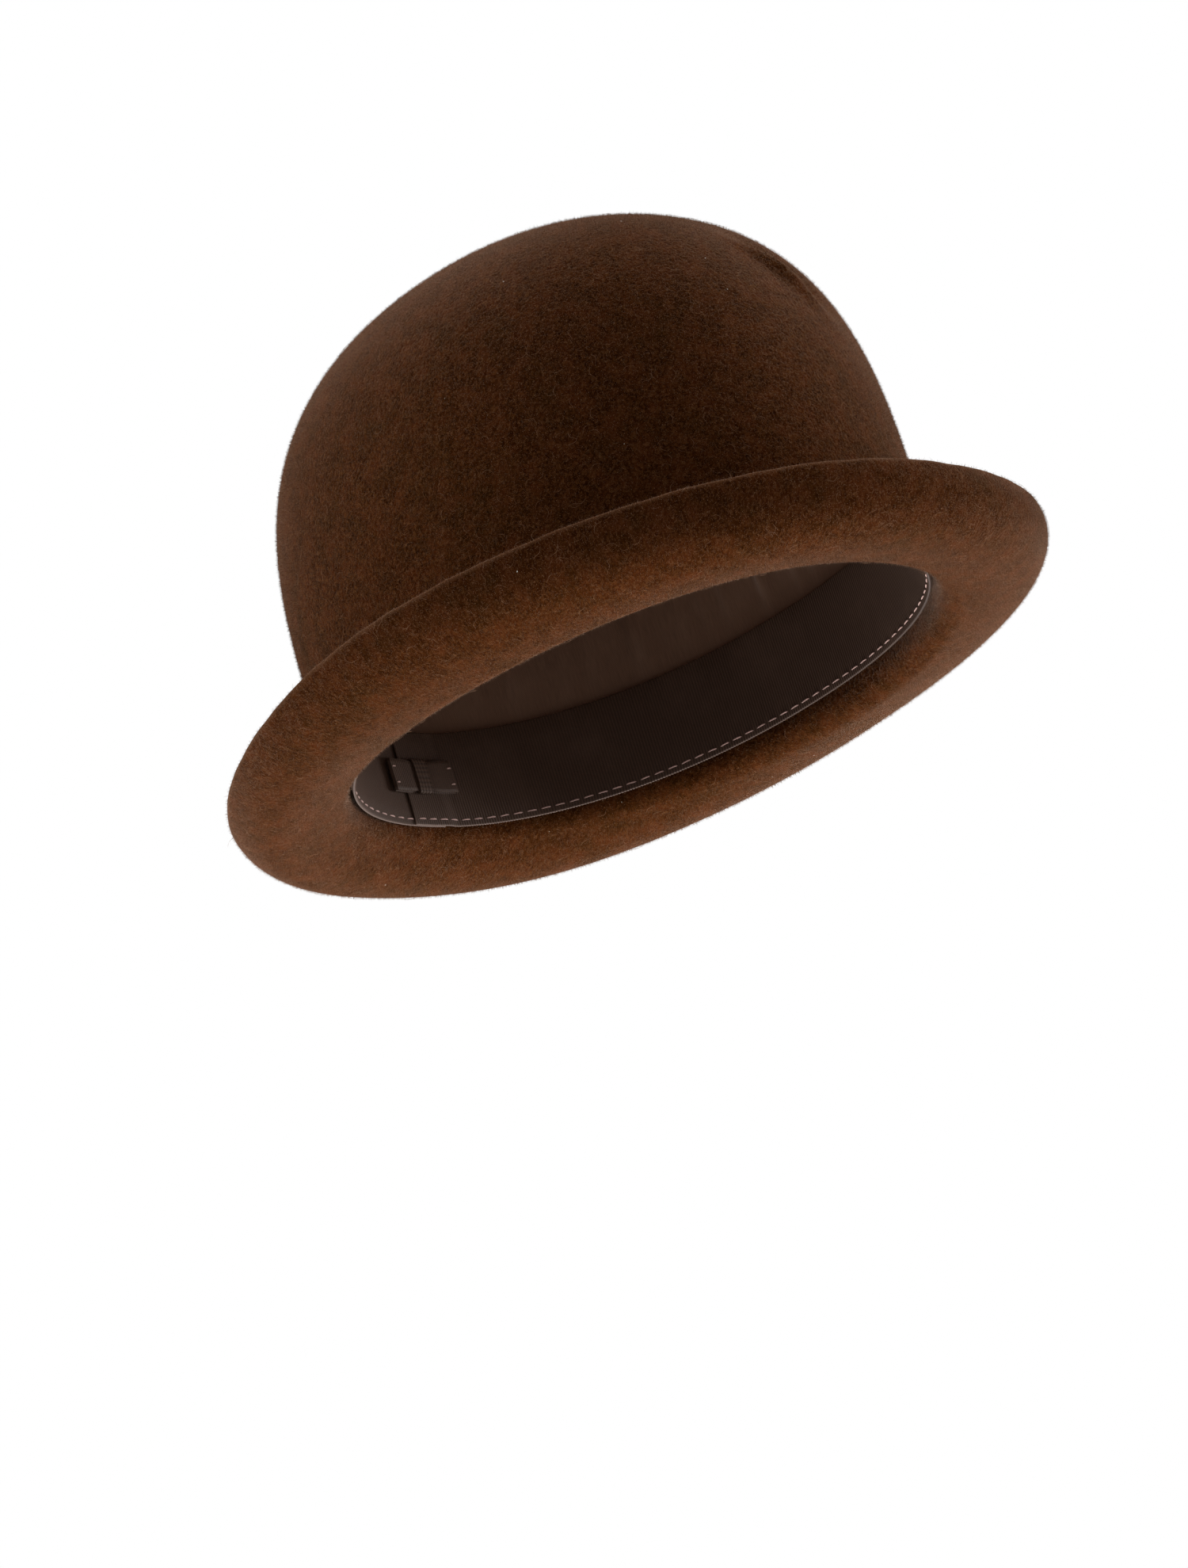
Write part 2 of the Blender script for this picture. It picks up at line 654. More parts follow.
crownOnly, brimTop, underBrim, everywhere = (-0.5, 0.5), (0.5, 1.5), (1.5, 2.5), (-0.5, 2.5)
napKinds = {  # fibres for each square metre, how far they lean, and how far they turn from the comb
    "nap": {"Density": 880000.0, "Lean": 1.1, "Spread": 0.9},
    "fuzz": {"Density": 1900000.0, "Lean": 0.4, "Spread": math.pi},
    "stray": {"Density": 16000.0, "Lean": 0.0, "Spread": math.pi},
    "lint": {"Density": 150.0, "Lean": 0.0, "Spread": math.pi},
}
fuzzColour = rgb(0.23, 0.145, 0.098)
napParts = {  # where on the hood, its kind, its colour, its seed, and what differs from its kind
    "felt_nap_crown": (
        crownOnly, "nap", rgb(0.087, 0.0345, 0.0142), 21, {"Density": 860000.0, "Spread": math.pi}
    ),
    "felt_nap_brim_top": (brimTop, "nap", rgb(0.091, 0.039, 0.0180), 22, {}),
    "felt_nap_underbrim": (underBrim, "nap", rgb(0.108, 0.050, 0.0265), 23, {}),
    "felt_fuzz_crown": (crownOnly, "fuzz", fuzzColour, 31, {}),
    "felt_fuzz_brim_top": (brimTop, "fuzz", fuzzColour, 32, {}),
    "felt_fuzz_underbrim": (underBrim, "fuzz", fuzzColour, 33, {}),
    "felt_stray_hairs": (everywhere, "stray", rgb(0.20, 0.112, 0.068), 24, {}),
    "felt_lint": (everywhere, "lint", rgb(0.62, 0.58, 0.52), 25, {}),
}


def makeNap():
    shapes = {"nap": fibreMesh(), "fuzz": fuzzMesh(), "stray": curlMesh(), "lint": lintMesh()}
    tree = napTree()
    for name, (place, kind, colour, seed, own) in napParts.items():
        piece = tree.grow(name, hood, {
            **napKinds[kind], **own,
            "Fibre": shapes[kind], "Seed": seed, "Low": place[0], "High": place[1],
            "Material": napMaterial(name.replace("_", " "), colour),
        })
        print("bowler hat:", name, len(piece.data.polygons), "faces")
        finishPiece(piece, None, None)


makeNap()
finishPiece(hood, felt, "felt_hood")


def thickSheet(name, front, back, uv):  # front and back are two grids of the same size
    wide, long = front.shape[:2]
    points = np.vstack([front.reshape(-1, 3), back.reshape(-1, 3)])
    shift = wide * long
    faces = []
    for i in range(wide - 1):
        for j in range(long - 1):
            corner = [i * long + j, (i + 1) * long + j, (i + 1) * long + j + 1, i * long + j + 1]
            faces.append(tuple(corner))
            faces.append(tuple(k + shift for k in corner[::-1]))
    rim = [i * long for i in range(wide)] + [(wide - 1) * long + j for j in range(1, long)]
    rim += [i * long + long - 1 for i in range(wide - 2, -1, -1)] + [j for j in range(long - 2, 0, -1)]
    for here, there in zip(rim, rim[1:] + rim[:1]):
        faces.append((here, here + shift, there + shift, there))
    piece = shellPiece(name, (points, faces))
    giveUv(piece, "weave", np.vstack([uv.reshape(-1, 2)] * 2))
    return piece


def evenAngles(start, end, depth, parts):  # angles at even steps of length round the oval
    fine = np.linspace(start, end, 4000)
    radius = ovalRadius(fine) - depth
    points = np.stack([radius * np.cos(fine), radius * np.sin(fine)], 1)
    length = np.concatenate([[0], np.cumsum(np.linalg.norm(np.diff(points, axis=0), axis=1))])
    wanted = np.linspace(0, length[-1], parts)
    return np.interp(wanted, length, fine), wanted


def inOval(angle, depth, height):
    radius = ovalRadius(angle) - depth
    return np.stack([radius * np.cos(angle), radius * np.sin(angle), height + 0 * radius], -1)


def polyline(name, points):
    return hiddenPart(meshPiece(name, points, [], [(k, k + 1) for k in range(len(points) - 1)]))


def joined(pieces):  # one piece from several
    whole = bmesh.new()
    for part in pieces:
        whole.from_mesh(part.data)
    whole.to_mesh(pieces[0].data)
    whole.free()
    for part in pieces[1:]:
        bpy.data.objects.remove(part)
    return pieces[0]


stitchLook = {"thickness": 0.5, "plies": 2, "twist": 1.3, "dip": 0.12, "sides": 8, "parts": 7}


def stitchMesh(length):  # a twisted two-ply stitch that dips at both ends
    along = np.linspace(-1, 1, stitchLook["parts"])
    turn = np.linspace(0, fullTurn, stitchLook["sides"], endpoint=False)
    thick = stitchLook["thickness"] / 2 * np.clip(1 - along ** 6, 0.35, 1)
    place = along[:, None] * length / 2
    wave = np.cos(stitchLook["plies"] * (turn[None] - fullTurn * place / stitchLook["twist"]))
    radius = thick[:, None] * (1 + 0.2 * wave)
    lift = -stitchLook["dip"] * along[:, None] ** 4
    rows = np.stack([
        np.repeat(place, len(turn), 1), radius * np.cos(turn), lift + radius * np.sin(turn)
    ], -1)
    return hiddenPart(shellPiece("stitch", sweep(rows, closedRound=False)))


def stitchTree():
    tree = Growth("row of stitches", {
        "Stitch": "NodeSocketObject", "Count": "NodeSocketInt", "Material": "NodeSocketMaterial",
    })
    path = tree.add("GeometryNodeMeshToCurve", {}, {"Mesh": tree.given("Geometry")})
    spots = tree.add("GeometryNodeCurveToPoints", {"mode": "COUNT"}, {
        "Curve": path, "Count": tree.given("Count"),
    }, out=None)
    turn = tree.add(
        "FunctionNodeAlignRotationToVector", {"axis": "X"}, {"Vector": spots.outputs["Tangent"]}
    )
    wobble = tree.add(
        "FunctionNodeRandomValue", {"data_type": "FLOAT_VECTOR"},
        {0: (-0.05, -0.05, -0.05), 1: (0.05, 0.05, 0.05), "Seed": 5},
    )
    nudge = tree.add("FunctionNodeEulerToRotation", {}, {0: wobble})
    turned = tree.add("FunctionNodeRotateRotation", {"rotation_space": "LOCAL"}, {0: turn, 1: nudge})
    shape = tree.add("GeometryNodeObjectInfo", {}, {"Object": tree.given("Stitch")}, out="Geometry")
    row = tree.add("GeometryNodeInstanceOnPoints", {}, {
        "Points": spots.outputs["Points"], "Instance": shape, "Rotation": turned,
    })
    tree.close(row)
    return tree


def threadMaterial():
    recipe = Recipe("mauve-tan cotton thread")
    place = recipe.place()
    fuzz = recipe.noise(place, 4200, 3, 0.6)
    cloud = recipe.noise(place, 120, 2)
    tone = fuzz.within(0.3, 0.7) * 0.7 + cloud * 0.3
    colour = recipe.mixed(tone, rgb(0.17, 0.095, 0.078), rgb(0.42, 0.27, 0.235))
    return recipe.finish({
        "Base Color": colour, "Roughness": 0.75, "Specular IOR Level": 0.25, "Sheen Weight": 0.1,
        "Normal": recipe.bumped(fuzz, 0.08 * mm, 0.8),
    })


thread = threadMaterial()
stitching = stitchTree()


def stitchRow(name, rows, length, node):  # rows: (points of the path, number of stitches)
    piece = joined([
        stitching.grow(name, polyline(name + "_path", path), {
            "Stitch": stitchMesh(length), "Count": count, "Material": thread,
        })
        for path, count in rows
    ])
    piece.name = name
    piece.data.polygons.foreach_set("use_smooth", [True] * len(piece.data.polygons))
    finishPiece(piece, thread, node)


bandLook = {
    "low": 1.5, "height": 32, "outer": 2.75, "inner": 3.6, "lap": 14,
    "ribPitch": 0.95, "ribDepth": 0.075, "stitchRise": 2, "stitches": 120, "stitchLength": 3.2,
}
backAngle = math.pi / 2
lapHalf = bandLook["lap"] / 2 / hatShape["halfLength"]
bandThick = bandLook["inner"] - bandLook["outer"]


def grosgrainMaterial():
    recipe = Recipe("brown grosgrain ribbon")
    place = recipe.place()
    weave = recipe.surface("weave")
    u, v = recipe.parts(weave)
    rib = (u * (fullTurn / (bandLook["ribPitch"] * mm))).sine()
    warp = (v * (fullTurn / (0.42 * mm))).sine()
    fuzz = recipe.noise(place, 3800, 2, 0.6)
    worn = recipe.noise(place, 45, 3, 0.6)
    tone = (rib * 0.5 + 0.5) * 0.5 + (warp * 0.5 + 0.5) * 0.2 + fuzz * 0.3
    body = recipe.mixed(tone, rgb(0.0100, 0.0042, 0.0022), rgb(0.056, 0.028, 0.0165))
    colour = recipe.mixed(worn.within(0.5, 0.8) * 0.35, body, rgb(0.075, 0.042, 0.028))
    return recipe.finish({
        "Base Color": colour,
        "Roughness": 0.72 - tone * 0.15,
        "Specular IOR Level": 0.2,
        "Sheen Weight": 0.05,
        "Sheen Tint": rgb(0.9, 0.6, 0.45),
        "Normal": recipe.bumped(warp * 0.25 + fuzz * 0.5 + rib * 0.2, 0.06 * mm, 0.7),
    })


def lapShift(angle):  # the second turn lies on the first where they lap at the back
    start = backAngle + fullTurn - lapHalf
    share = np.clip((angle - start + 0.06) / 0.055, 0, 1)
    return share * share * (3 - 2 * share)


def makeSweatband():
    start, end, middle = backAngle - lapHalf, backAngle + fullTurn + lapHalf, 3
    cut = evenAngles(start, end, middle, 2)[1][-1]
    ribs = round(cut / bandLook["ribPitch"])
    angle, length = evenAngles(start, end, middle, ribs * 5 + 1)
    rib = np.cos(fullTurn * length / (cut / ribs))
    shift = lapShift(angle) * bandThick
    share = np.array([0, 0.012, 0.2, 0.5, 0.8, 0.988, 1])
    height = bandLook["low"] + bandLook["height"] * share
    loose = 0.16 * np.sin(5 * angle + 1) + 0.1 * np.sin(11 * angle)  # at the free top edge
    faceDepth = bandLook["inner"] + shift + bandLook["ribDepth"] * rib
    picot = {0: -0.08 * rib, 1: 0.08 * rib}  # the ribs end in tiny loops at both edges
    rows = [
        (bandLook["outer"] + 0.02 + shift, z + picot.get(s, 0 * rib), s)
        for z, s in zip(height[::-1], share[::-1])
    ]
    for z, s in zip(height, share):
        depth = faceDepth - 0.1 * (s in picot) + np.maximum(loose, 0) * s ** 3
        rows.append((depth, z + picot.get(s, 0 * rib), s))
    strips = np.stack([inOval(angle, depth, z) for depth, z, place in rows], 1)
    piece = shellPiece("sweatband_grosgrain", sweep(strips, closedRound=False))
    rises = np.array([[place * bandLook["height"] for depth, z, place in rows]])
    giveGridUv(piece, length[:, None], rises)
    finishPiece(piece, ribbon, "sweatband")


def makeBandSeam():
    angle = np.linspace(backAngle + lapHalf + 0.02, backAngle + fullTurn + lapHalf - 0.03, 900)
    depth = bandLook["inner"] + lapShift(angle) * bandThick + 0.08
    path = inOval(angle, depth, bandLook["low"] + bandLook["stitchRise"])
    row = [(path, bandLook["stitches"])]
    stitchRow("sweatband_lockstitch", row, bandLook["stitchLength"], "sweatband_stitches")


ribbon = grosgrainMaterial()
makeSweatband()
makeBandSeam()
print("bowler hat: the sweatband is sewn in")


bowLook = {
    "width": 30, "height": 11, "middle": 17.5, "back": 4.85, "front": 5.95,
    "ribbon": 0.34, "ribPitch": 0.95,
    "knotWidth": 6, "knotOverhang": 0.6, "knotBack": 4.75, "knotFront": 6.95, "knotSquareness": 3.2,
    "loopStart": 1.2, "loopShort": 0.6, "tackPlace": 13, "tackLength": 1.6,
}


def atBack(x, depth, z):  # x along the oval from the middle of the back
    return inOval(backAngle + x / hatShape["halfLength"], depth, z)


def loopPath(parts):  # distance from the knot and depth, out along the back and home along the front
    radius = (bowLook["front"] - bowLook["back"]) / 2
    start, end = bowLook["loopStart"], bowLook["width"] / 2 - bowLook["loopShort"] - radius
    turn = np.linspace(-math.pi / 2, math.pi / 2, 15)
    run = np.linspace(start, end, 30)
    puff = 0.22 * np.sin(math.pi * (run - start) / (end - start))
    pinch = 0.35 * np.exp(-((run - start) / 3) ** 2)
    x = np.concatenate([run, end + radius * np.cos(turn), run[::-1]])
    middle = (bowLook["front"] + bowLook["back"]) / 2
    depth = np.concatenate([
        np.full(len(run), bowLook["back"]), middle + radius * np.sin(turn),
        (bowLook["front"] + puff - pinch)[::-1],
    ])
    step = np.concatenate([[0], np.cumsum(np.hypot(np.diff(x), np.diff(depth)))])
    wanted = np.linspace(0, step[-1], parts)
    return np.interp(wanted, step, x), np.interp(wanted, step, depth), wanted


def makeBowLoops():
    x, depth, length = loopPath(141)
    normalX, normalD = np.gradient(depth), -np.gradient(x)
    size = np.hypot(normalX, normalD)
    rib = 0.045 * np.cos(fullTurn * length / bowLook["ribPitch"])
    out = (bowLook["ribbon"] / 2 + rib) / size
    tall = bowLook["height"] / 2 * (1 - 0.16 * np.exp(-((x - 1) / 3.5) ** 2))
    rise = np.linspace(-1, 1, 9)
    z = bowLook["middle"] + rise[None] * tall[:, None]
    uv = np.stack(np.meshgrid(length, rise * bowLook["height"] / 2, indexing="ij"), -1) * mm
    loops = []
    for side in (-1, 1):
        front, back = (
            atBack(side * (x + normalX * o)[:, None] + 0 * z, (depth + normalD * o)[:, None] + 0 * z, z)
            for o in (out, -out)
        )
        loops.append(thickSheet("bow_loop", front, back, uv))
    piece = joined(loops)
    piece.name = "bow_loops_folded"
    finishPiece(piece, ribbon, "bow_loops")


def makeBowKnot():
    half = bowLook["knotWidth"] / 2
    x = np.concatenate([[-half], np.linspace(-half + 0.06, half - 0.06, 41), [half]])
    turn = np.linspace(0, fullTurn, 64, endpoint=False)
    tall = bowLook["height"] / 2 + bowLook["knotOverhang"]
    deep = (bowLook["knotFront"] - bowLook["knotBack"]) / 2
    middle = (bowLook["knotFront"] + bowLook["knotBack"]) / 2
    power = bowLook["knotSquareness"]
    rounded = (np.abs(np.cos(turn)) ** power + np.abs(np.sin(turn)) ** power) ** (-1 / power)
    pleat = 1 - 0.055 * (1 - np.cos(fullTurn * x / 1.5 + 0.4 * np.sin(x))) * (np.abs(x) < half - 0.1)
    shrink = np.where(np.abs(x) > half - 0.05, 0.9, 1.0) * pleat
    z = bowLook["middle"] + tall * (rounded * np.sin(turn))[None] * (0.5 + 0.5 * shrink[:, None])
    depth = middle + deep * (rounded * np.cos(turn))[None] * shrink[:, None]
    grid = atBack(x[:, None] + 0 * z, depth, z)
    piece = shellPiece("bow_knot_wrapped", sweep(grid, closedRound=False))
    giveGridUv(piece, turn[None] * 4, x[:, None])
    finishPiece(piece, ribbon, "bow_knot")


def makeTacks():  # one stitch at each corner of the bow
    rows = []
    for side in (-1, 1):
        for up in (-1, 1):
            x = side * bowLook["tackPlace"] + np.array([-0.01, 0.01])
            z = bowLook["middle"] + up * bowLook["height"] / 4 + np.zeros(2)
            rows.append((atBack(x, bowLook["front"] + bowLook["ribbon"] / 2 + 0.1, z), 1))
    stitchRow("bow_tacks", rows, bowLook["tackLength"], "bow_stitches")


makeBowLoops()
makeBowKnot()
makeTacks()
print("bowler hat: the bow is tacked on")


liningLook = {
    "outer": 1.93, "inner": 2.3, "seamPlace": 5 / 14, "coverPlace": 13 / 14, "gap": 0.012 / 14,
    "pucker": 4.2, "tipPucker": 0.35, "seamMargin": 8, "pipingDepth": 3.2, "pipingRadius": 1.08,
    "pipingWraps": 88, "twill": 0.38,
}


def satinMaterial():
    recipe = Recipe("brown satin")
    place = recipe.place()
    weave = recipe.surface("weave")
    u, v = recipe.parts(weave)
    twill = ((u + v * 0.35) * (fullTurn / (liningLook["twill"] * mm))).sine()
    yarn = recipe.noise(recipe.stretched(weave, (2600, 160, 1)), 1, 2, 0.6)
    cloud = recipe.noise(place, 24, 3, 0.55)
    tone = (twill * 0.5 + 0.5) * 0.3 + yarn * 0.45 + cloud * 0.25
    colour = recipe.mixed(tone.within(0.2, 0.8), rgb(0.052, 0.024, 0.0125), rgb(0.150, 0.082, 0.050))
    return recipe.finish({
        "Base Color": colour,
        "Roughness": 0.46 + yarn * 0.16,
        "Specular IOR Level": 0.3,
        "Sheen Weight": 0.08,
        "Normal": recipe.bumped(twill * 0.25 + yarn * 0.6, 0.05 * mm, 0.6),
    })


def puckers(angle, seed):  # soft gathers, all inwards
    shape = 0.55 * np.cos(31 * angle + seed) + 0.35 * np.cos(43 * angle + 2.2 * seed)
    return np.maximum(shape + 0.3 * np.cos(67 * angle) + 0.25, 0) ** 1.5


def liningWalls(angle, radius, height, push):  # the two faces of the satin, pushed in off the felt
    depths = (liningLook["outer"] + push, liningLook["inner"] + push)
    outer, inner = (layerAt(angle, radius, height, -depth) for depth in depths)
    return marked(np.concatenate([outer, inner[:, ::-1]], 1))


def makeLiningSide():
    columns, rings = 480, 44
    angle = np.linspace(0, fullTurn, columns, endpoint=False)
    place = np.linspace(liningLook["seamPlace"] + liningLook["gap"], liningLook["coverPlace"], rings)
    up = np.sin((1 - place) * math.pi / 2)
    radius, height = crownPoints(angle, up)
    share = np.linspace(0, 1, rings)[None]  # 0 at the seam, 1 at the lower edge
    tight = 0.35 + 0.65 * np.exp(-(share / 0.14) ** 2) + 0.4 * np.exp(-((share - 0.72) / 0.12) ** 2)
    free = np.clip((height - 35) / 14, 0, 1) * np.clip(share / 0.03, 0, 1)
    atSeam, atEdge = puckers(angle, 1.3)[:, None], puckers(angle, 4.1)[:, None]
    slack = atSeam * np.exp(-share * 2.2) / 2 + atEdge * share / 2
    push = liningLook["pucker"] * slack * tight * free
    piece = shellPiece("lining_side_satin", sweep(liningWalls(angle, radius, height, push)))
    length = np.concatenate([[0], np.cumsum(np.hypot(np.diff(radius[0]), np.diff(height[0])))])
    spread = 90  # mm of weave for each radian
    down = np.append(length, length[::-1])
    giveGridUv(piece, angle[:, None] * spread, down[None], (fullTurn * spread * mm, 0))
    finishPiece(piece, satin, "lining_side")
    rim = evenAngles(0, fullTurn, 2, 2)[1][-1]


def makeLiningTip():
    columns, rings = 320, 40
    angle = np.linspace(0, fullTurn, columns, endpoint=False)
    place = np.linspace(0, liningLook["seamPlace"] - liningLook["gap"], rings + 1)[1:]
    up = np.sin((1 - place) * math.pi / 2)
    radius, height = crownPoints(angle, up)
    share = np.linspace(0, 1, rings + 1)[1:][None]
    free = np.clip((share - 0.62) / 0.3, 0, 1) ** 1.5 * np.clip((1 - share) / 0.04, 0, 1)
    push = liningLook["tipPucker"] * puckers(angle, 2.7)[:, None] * free
    walls = liningWalls(angle, radius, height, push)
    points, faces = sweep(walls, poles=True, closedRow=False)
    poles = [[0, 0, hatShape["crownHeight"] - liningLook[face]] for face in ("outer", "inner")]
    points[-2:, 2] = marked(np.array(poles))[:, 2]
    piece = shellPiece("lining_tip_satin", (points, faces))
    giveUv(piece, "weave", points[:, :2] * mm)
    finishPiece(piece, satin, "lining_tip")
    wide, long = (2 * (radius[k, -1] + liningLook["seamMargin"]) for k in (0, columns // 4))
    long * mm
    wide * mm
    math.pi / 4 * long * wide * mm * mm


def makePiping():
    columns, sides = 560, 14
    angle = np.linspace(0, fullTurn, columns, endpoint=False)
    up = np.sin((1 - liningLook["seamPlace"] - np.array([-0.01, 0, 0.01])) * math.pi / 2)
    radius, height = crownPoints(angle, up)
    centre = layerAt(angle, radius, height, -liningLook["pipingDepth"])[:, 1]
    turn = np.linspace(0, fullTurn, sides, endpoint=False)
    wrap = np.cos(liningLook["pipingWraps"] * angle)[:, None] * np.cos(turn - 0.6)[None] ** 2
    size = liningLook["pipingRadius"] * (1 + 0.035 * wrap)
    across = np.stack([np.cos(angle), np.sin(angle), 0 * angle], -1)[:, None]
    way = np.cos(turn)[None, :, None] * across + np.sin(turn)[None, :, None] * np.array([0, 0, 1])
    ring = centre[:, None] + size[..., None] * way
    piece = shellPiece("lining_piping_corded", sweep(marked(ring)))
    along, girth = 75, 1.1  # mm of weave for each radian, along the cord and round it
    turns = (fullTurn * along * mm, fullTurn * girth * mm)
    giveGridUv(piece, angle[:, None] * along, turn[None] * girth, turns)
    finishPiece(piece, satin, "lining_piping")


satin = satinMaterial()
makeLiningSide()
makeLiningTip()
makePiping()
print("bowler hat: the lining is in")


makerLook = {
    "across": 22, "along": 46, "back": 2.45, "front": 2.8, "border": 1.6, "borderWidth": 0.42,
    "hem": 1.0, "seamInset": 0.75, "endInset": 1.5, "stitches": 15, "stitchLength": 2.1,
}


def labelMaterial(name, dark, light, line):
    recipe = Recipe(name)
    place = recipe.place()
    weave = recipe.surface("weave")
    u, v = recipe.parts(weave)
    weft = (u * (fullTurn / (0.36 * mm))).sine()
    warp = (v * (fullTurn / (0.5 * mm))).sine()
    fuzz = recipe.noise(place, 3000, 2, 0.6)
    cloud = recipe.noise(place, 60, 2)
    tone = (weft * warp * 0.5 + 0.5) * 0.45 + fuzz * 0.35 + cloud * 0.2
    body = recipe.mixed(tone, dark, light)
    border = recipe.attribute("border")
    colour = recipe.mixed(border * (0.7 + warp * 0.3), body, line)
    return recipe.finish({
        "Base Color": colour, "Roughness": 0.62 - tone * 0.12, "Specular IOR Level": 0.35,
        "Normal": recipe.bumped(weft * warp * 0.6 + fuzz * 0.4, 0.06 * mm, 0.8),
    })


def topHeight(x, y):
    angle = np.arctan2(y, x)
    share = np.hypot(x, y) / ovalRadius(angle) / (1 + hatShape["wallLean"])
    return hatShape["crownHeight"] * (1 - share ** hatShape["topPower"]) ** (1 / hatShape["wallPower"])


def makeMakerLabel():
    halfX, halfY = makerLook["across"] / 2, makerLook["along"] / 2
    x, y = np.meshgrid(np.linspace(-halfX, halfX, 45), np.linspace(-halfY, halfY, 93), indexing="ij")
    inset = np.minimum(halfX - np.abs(x), halfY - np.abs(y))
    line = np.exp(-((inset - makerLook["border"]) / makerLook["borderWidth"]) ** 2)
    fold = 0.12 * (inset < makerLook["hem"])
    z = topHeight(x, y)
    front = marked(np.stack([x, y, z - makerLook["front"] - 0.07 * line - fold], -1))
    back = marked(np.stack([x, y, z - makerLook["back"]], -1))
    piece = thickSheet("maker_label_woven", front, back, np.stack([x, y], -1) * mm)
    giveValue(piece, "border", np.tile((line > 0.5).astype(float).ravel(), 2))
    finishPiece(piece, woven, "maker_label")
    rows = []
    for side in (-1, 1):
        pathY = np.linspace(makerLook["endInset"] - halfY, halfY - makerLook["endInset"], 60)
        pathX = np.full(60, side * (halfX - makerLook["seamInset"]))
        pathZ = topHeight(pathX, pathY) - makerLook["front"] - 0.2
        rows.append((marked(np.stack([pathX, pathY, pathZ], -1)), makerLook["stitches"]))
    stitchRow("maker_label_sewing", rows, makerLook["stitchLength"], "maker_label_stitches")


woven = labelMaterial(
    "cream woven label", rgb(0.40, 0.34, 0.25), rgb(0.66, 0.59, 0.47), rgb(0.115, 0.058, 0.032)
)
makeMakerLabel()


careLook = {
    "angle": 142, "width": 16, "length": 22, "thickness": 0.3, "fold": 28.5, "hemTop": 33.0,
    "hemDepth": 4.28, "flapDepth": 4.48, "blend": 1.9, "standOff": 0.9, "sway": 0.25, "cup": 0.5,
    "seamHeight": 31.5, "stitches": 4, "stitchGap": 3.75, "stitchLength": 2.6,
}


def careFrame():  # the middle of the hem, the way along it, and outwards
    nearby = np.radians(careLook["angle"] + np.array([-1, 0, 1]))
    centre, ends = inOval(nearby, careLook["hemDepth"], 0.0)[1], inOval(nearby, 0.0, 0.0)
    along = ends[0] - ends[2]
    along /= np.linalg.norm(along)
    return centre, along, np.array([-along[1], along[0], 0])


def onCare(x, depth, z):  # x along the hem, depth in from the felt
    centre, along, out = careFrame()
    x, depth, z = np.broadcast_arrays(x, depth, z)
    away = (careLook["hemDepth"] - depth)[..., None]
    return centre + x[..., None] * along + away * out + z[..., None] * np.array([0, 0, 1.0])


def makeCareLabel():
    half = careLook["width"] / 2
    bottom = careLook["fold"] - careLook["length"]
    zs = np.concatenate([
        np.linspace(careLook["hemTop"], careLook["fold"] + 2.2, 8),
        np.linspace(careLook["fold"] + 2.0, careLook["fold"] - 2.0, 22),
        np.linspace(careLook["fold"] - 2.4, bottom, 30),
    ])
    x, z = np.meshgrid(np.linspace(-half, half, 25), zs, indexing="ij")
    down = np.clip((careLook["fold"] + 1.5 - z) / 3, 0, 1)
    hang = np.clip((careLook["fold"] - 3 - z) / (careLook["length"] - 3), 0, 1)
    depth = careLook["hemDepth"] + (careLook["flapDepth"] - careLook["hemDepth"]) * down
    depth += careLook["standOff"] * hang ** 2
    depth += careLook["sway"] * np.sin(x / half * 2.2 + 0.4) * hang
    depth += careLook["cup"] * hang ** 3 * (x / half) ** 2
    front = onCare(x, depth + careLook["thickness"] / 2, z)
    back = onCare(x, depth - careLook["thickness"] / 2, z)
    piece = thickSheet("care_label_folded", front, back, np.stack([x, z], -1) * mm)
    edge = half - np.abs(x)
    giveValue(piece, "border", np.tile((edge < 0.5).astype(float).ravel() * 0.25, 2))
    finishPiece(piece, careCloth, ["care_label_hem", "care_label_flap"], body=None)
    hinge = onCare(0.0, careLook["flapDepth"], careLook["fold"]) * mm
    rise = np.array([0, 0, careLook["blend"] / 2 * mm])
    tuple(hinge + rise)
    tuple(hinge - rise)
    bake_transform(piece)
    reach = careLook["stitchGap"] * (careLook["stitches"] - 1) / 2
    above = careLook["hemDepth"] + careLook["thickness"] / 2 + 0.08
    path = onCare(np.linspace(-reach, reach, 20), above, careLook["seamHeight"])
    row = [(path, careLook["stitches"])]
    stitchRow("care_label_sewing", row, careLook["stitchLength"], "care_label_stitches")


careCloth = labelMaterial(
    "white satin care label", rgb(0.50, 0.49, 0.46), rgb(0.78, 0.77, 0.74), rgb(0.6, 0.58, 0.55)
)
makeCareLabel()
print("bowler hat: the labels are sewn on")


cameraView = {
    "azimuth": -49.5246, "elevation": -18.1617, "roll": 17.4907,
    "distance": 2.283, "right": -0.01482, "up": -0.02722, "lens": 171.3708, "sensor": 36,
}


def makeCamera():
    azimuth, elevation, roll = (math.radians(cameraView[k]) for k in ("azimuth", "elevation", "roll"))
    out = math.cos(elevation)
    back = Vector((math.sin(azimuth) * out, -math.cos(azimuth) * out, math.sin(elevation)))
    level = (-back).cross(Vector((0, 0, 1))).normalized()
    upright = level.cross(-back)
    right = math.cos(roll) * level - math.sin(roll) * upright
    up = math.sin(roll) * level + math.cos(roll) * upright
    data = bpy.data.cameras.new("camera")
    data.sensor_width, data.lens = cameraView["sensor"], cameraView["lens"]
    camera = bpy.data.objects.new("camera", data)
    place = back * cameraView["distance"] + right * cameraView["right"] + up * cameraView["up"]
    turn = Matrix((right, up, back)).transposed().to_4x4()
    camera.matrix_world = Matrix.Translation(place) @ turn
    bpy.context.scene.collection.objects.link(camera)
    bpy.context.scene.camera = camera
    return right, up, back


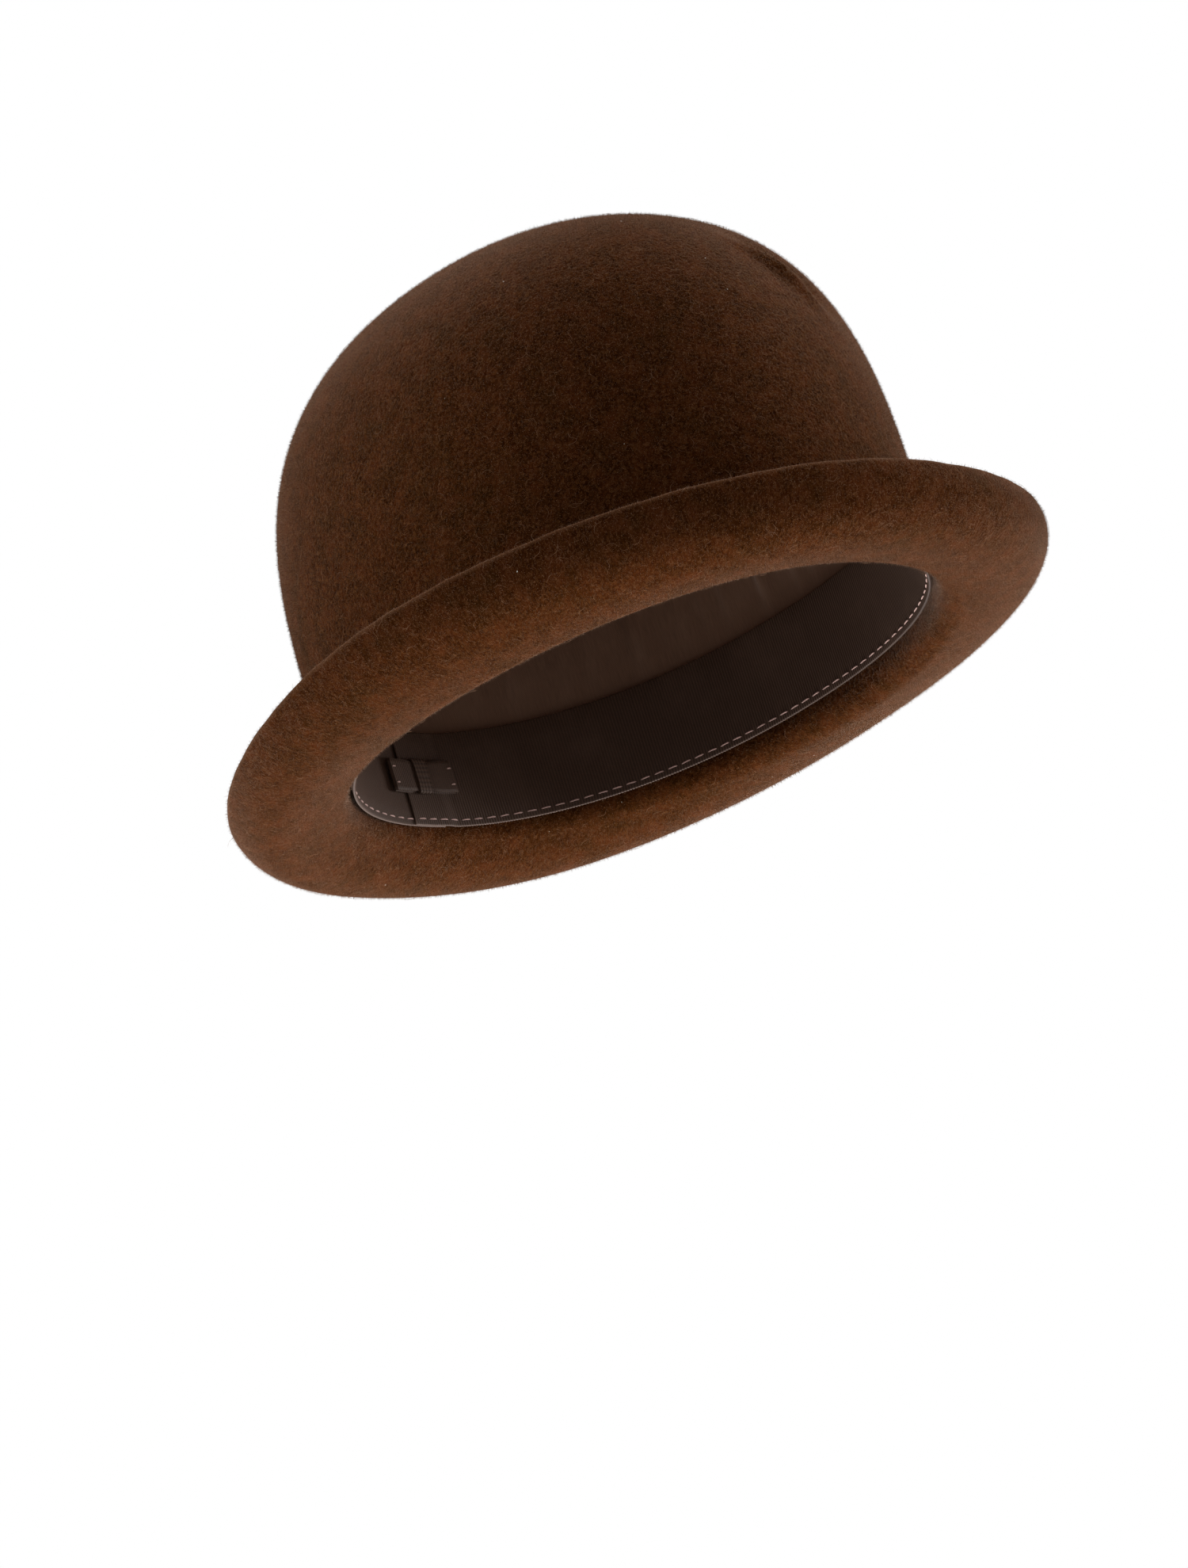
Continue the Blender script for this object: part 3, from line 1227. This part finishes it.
def areaLight(name, place, size, power):
    data = bpy.data.lights.new(name, "AREA")
    data.shape, data.size, data.energy = "DISK", size, power
    lamp = bpy.data.objects.new(name, data)
    lamp.location = place
    lamp.rotation_mode = "QUATERNION"
    lamp.rotation_quaternion = (Vector((0, 0, 0.05)) - Vector(place)).to_track_quat("-Z", "Y")
    bpy.context.scene.collection.objects.link(lamp)


studio = {"world": 0.58, "floor": -2.6, "floorSize": 12.0}
lights = {  # how far to the right, up and towards the camera, how wide, and how strong
    "left box": (-1.7, 0.1, -0.5, 1.1, 46),
    "right box": (1.7, 0.1, -0.4, 1.1, 46),
    "high box": (0, 1.7, -0.9, 1.1, 52),
    "low bounce": (0, -1.6, -0.3, 1.4, 72),
}


def makeStudio(right, up, back):
    scene = bpy.context.scene
    scene.view_settings.view_transform = "Standard"
    world = bpy.data.worlds.new("white sweep")
    scene.world = world
    world.use_nodes = True
    nodes, links = world.node_tree.nodes, world.node_tree.links
    nodes.clear()
    seen, lit = (nodes.new("ShaderNodeBackground") for k in range(2))
    for white in (seen, lit):
        white.inputs["Color"].default_value = (1, 1, 1, 1)
    lit.inputs["Strength"].default_value = studio["world"]
    path = nodes.new("ShaderNodeLightPath")
    mix = nodes.new("ShaderNodeMixShader")
    out = nodes.new("ShaderNodeOutputWorld")
    links.new(path.outputs["Is Camera Ray"], mix.inputs[0])
    links.new(lit.outputs[0], mix.inputs[1])
    links.new(seen.outputs[0], mix.inputs[2])
    links.new(mix.outputs[0], out.inputs[0])
    for name, (across, above, near, size, power) in lights.items():
        areaLight(name, right * across + up * above + back * near, size, power)
    size, low = studio["floorSize"], studio["floor"]
    mesh = bpy.data.meshes.new("floor")
    corners = [(-size, -size, low), (size, -size, low), (size, size, low), (-size, size, low)]
    mesh.from_pydata(corners, [], [(0, 1, 2, 3)])
    floor = bpy.data.objects.new("floor", mesh)
    scene.collection.objects.link(floor)
    recipe = Recipe("pale floor")
    cloud = recipe.noise(recipe.place(), 3, 2)
    grey = recipe.mixed(cloud, rgb(0.80, 0.80, 0.80), rgb(0.84, 0.84, 0.84))
    mesh.materials.append(recipe.finish({"Base Color": grey, "Roughness": 0.8}))


makeStudio(*makeCamera())
print("bowler hat: the camera and the lights stand")
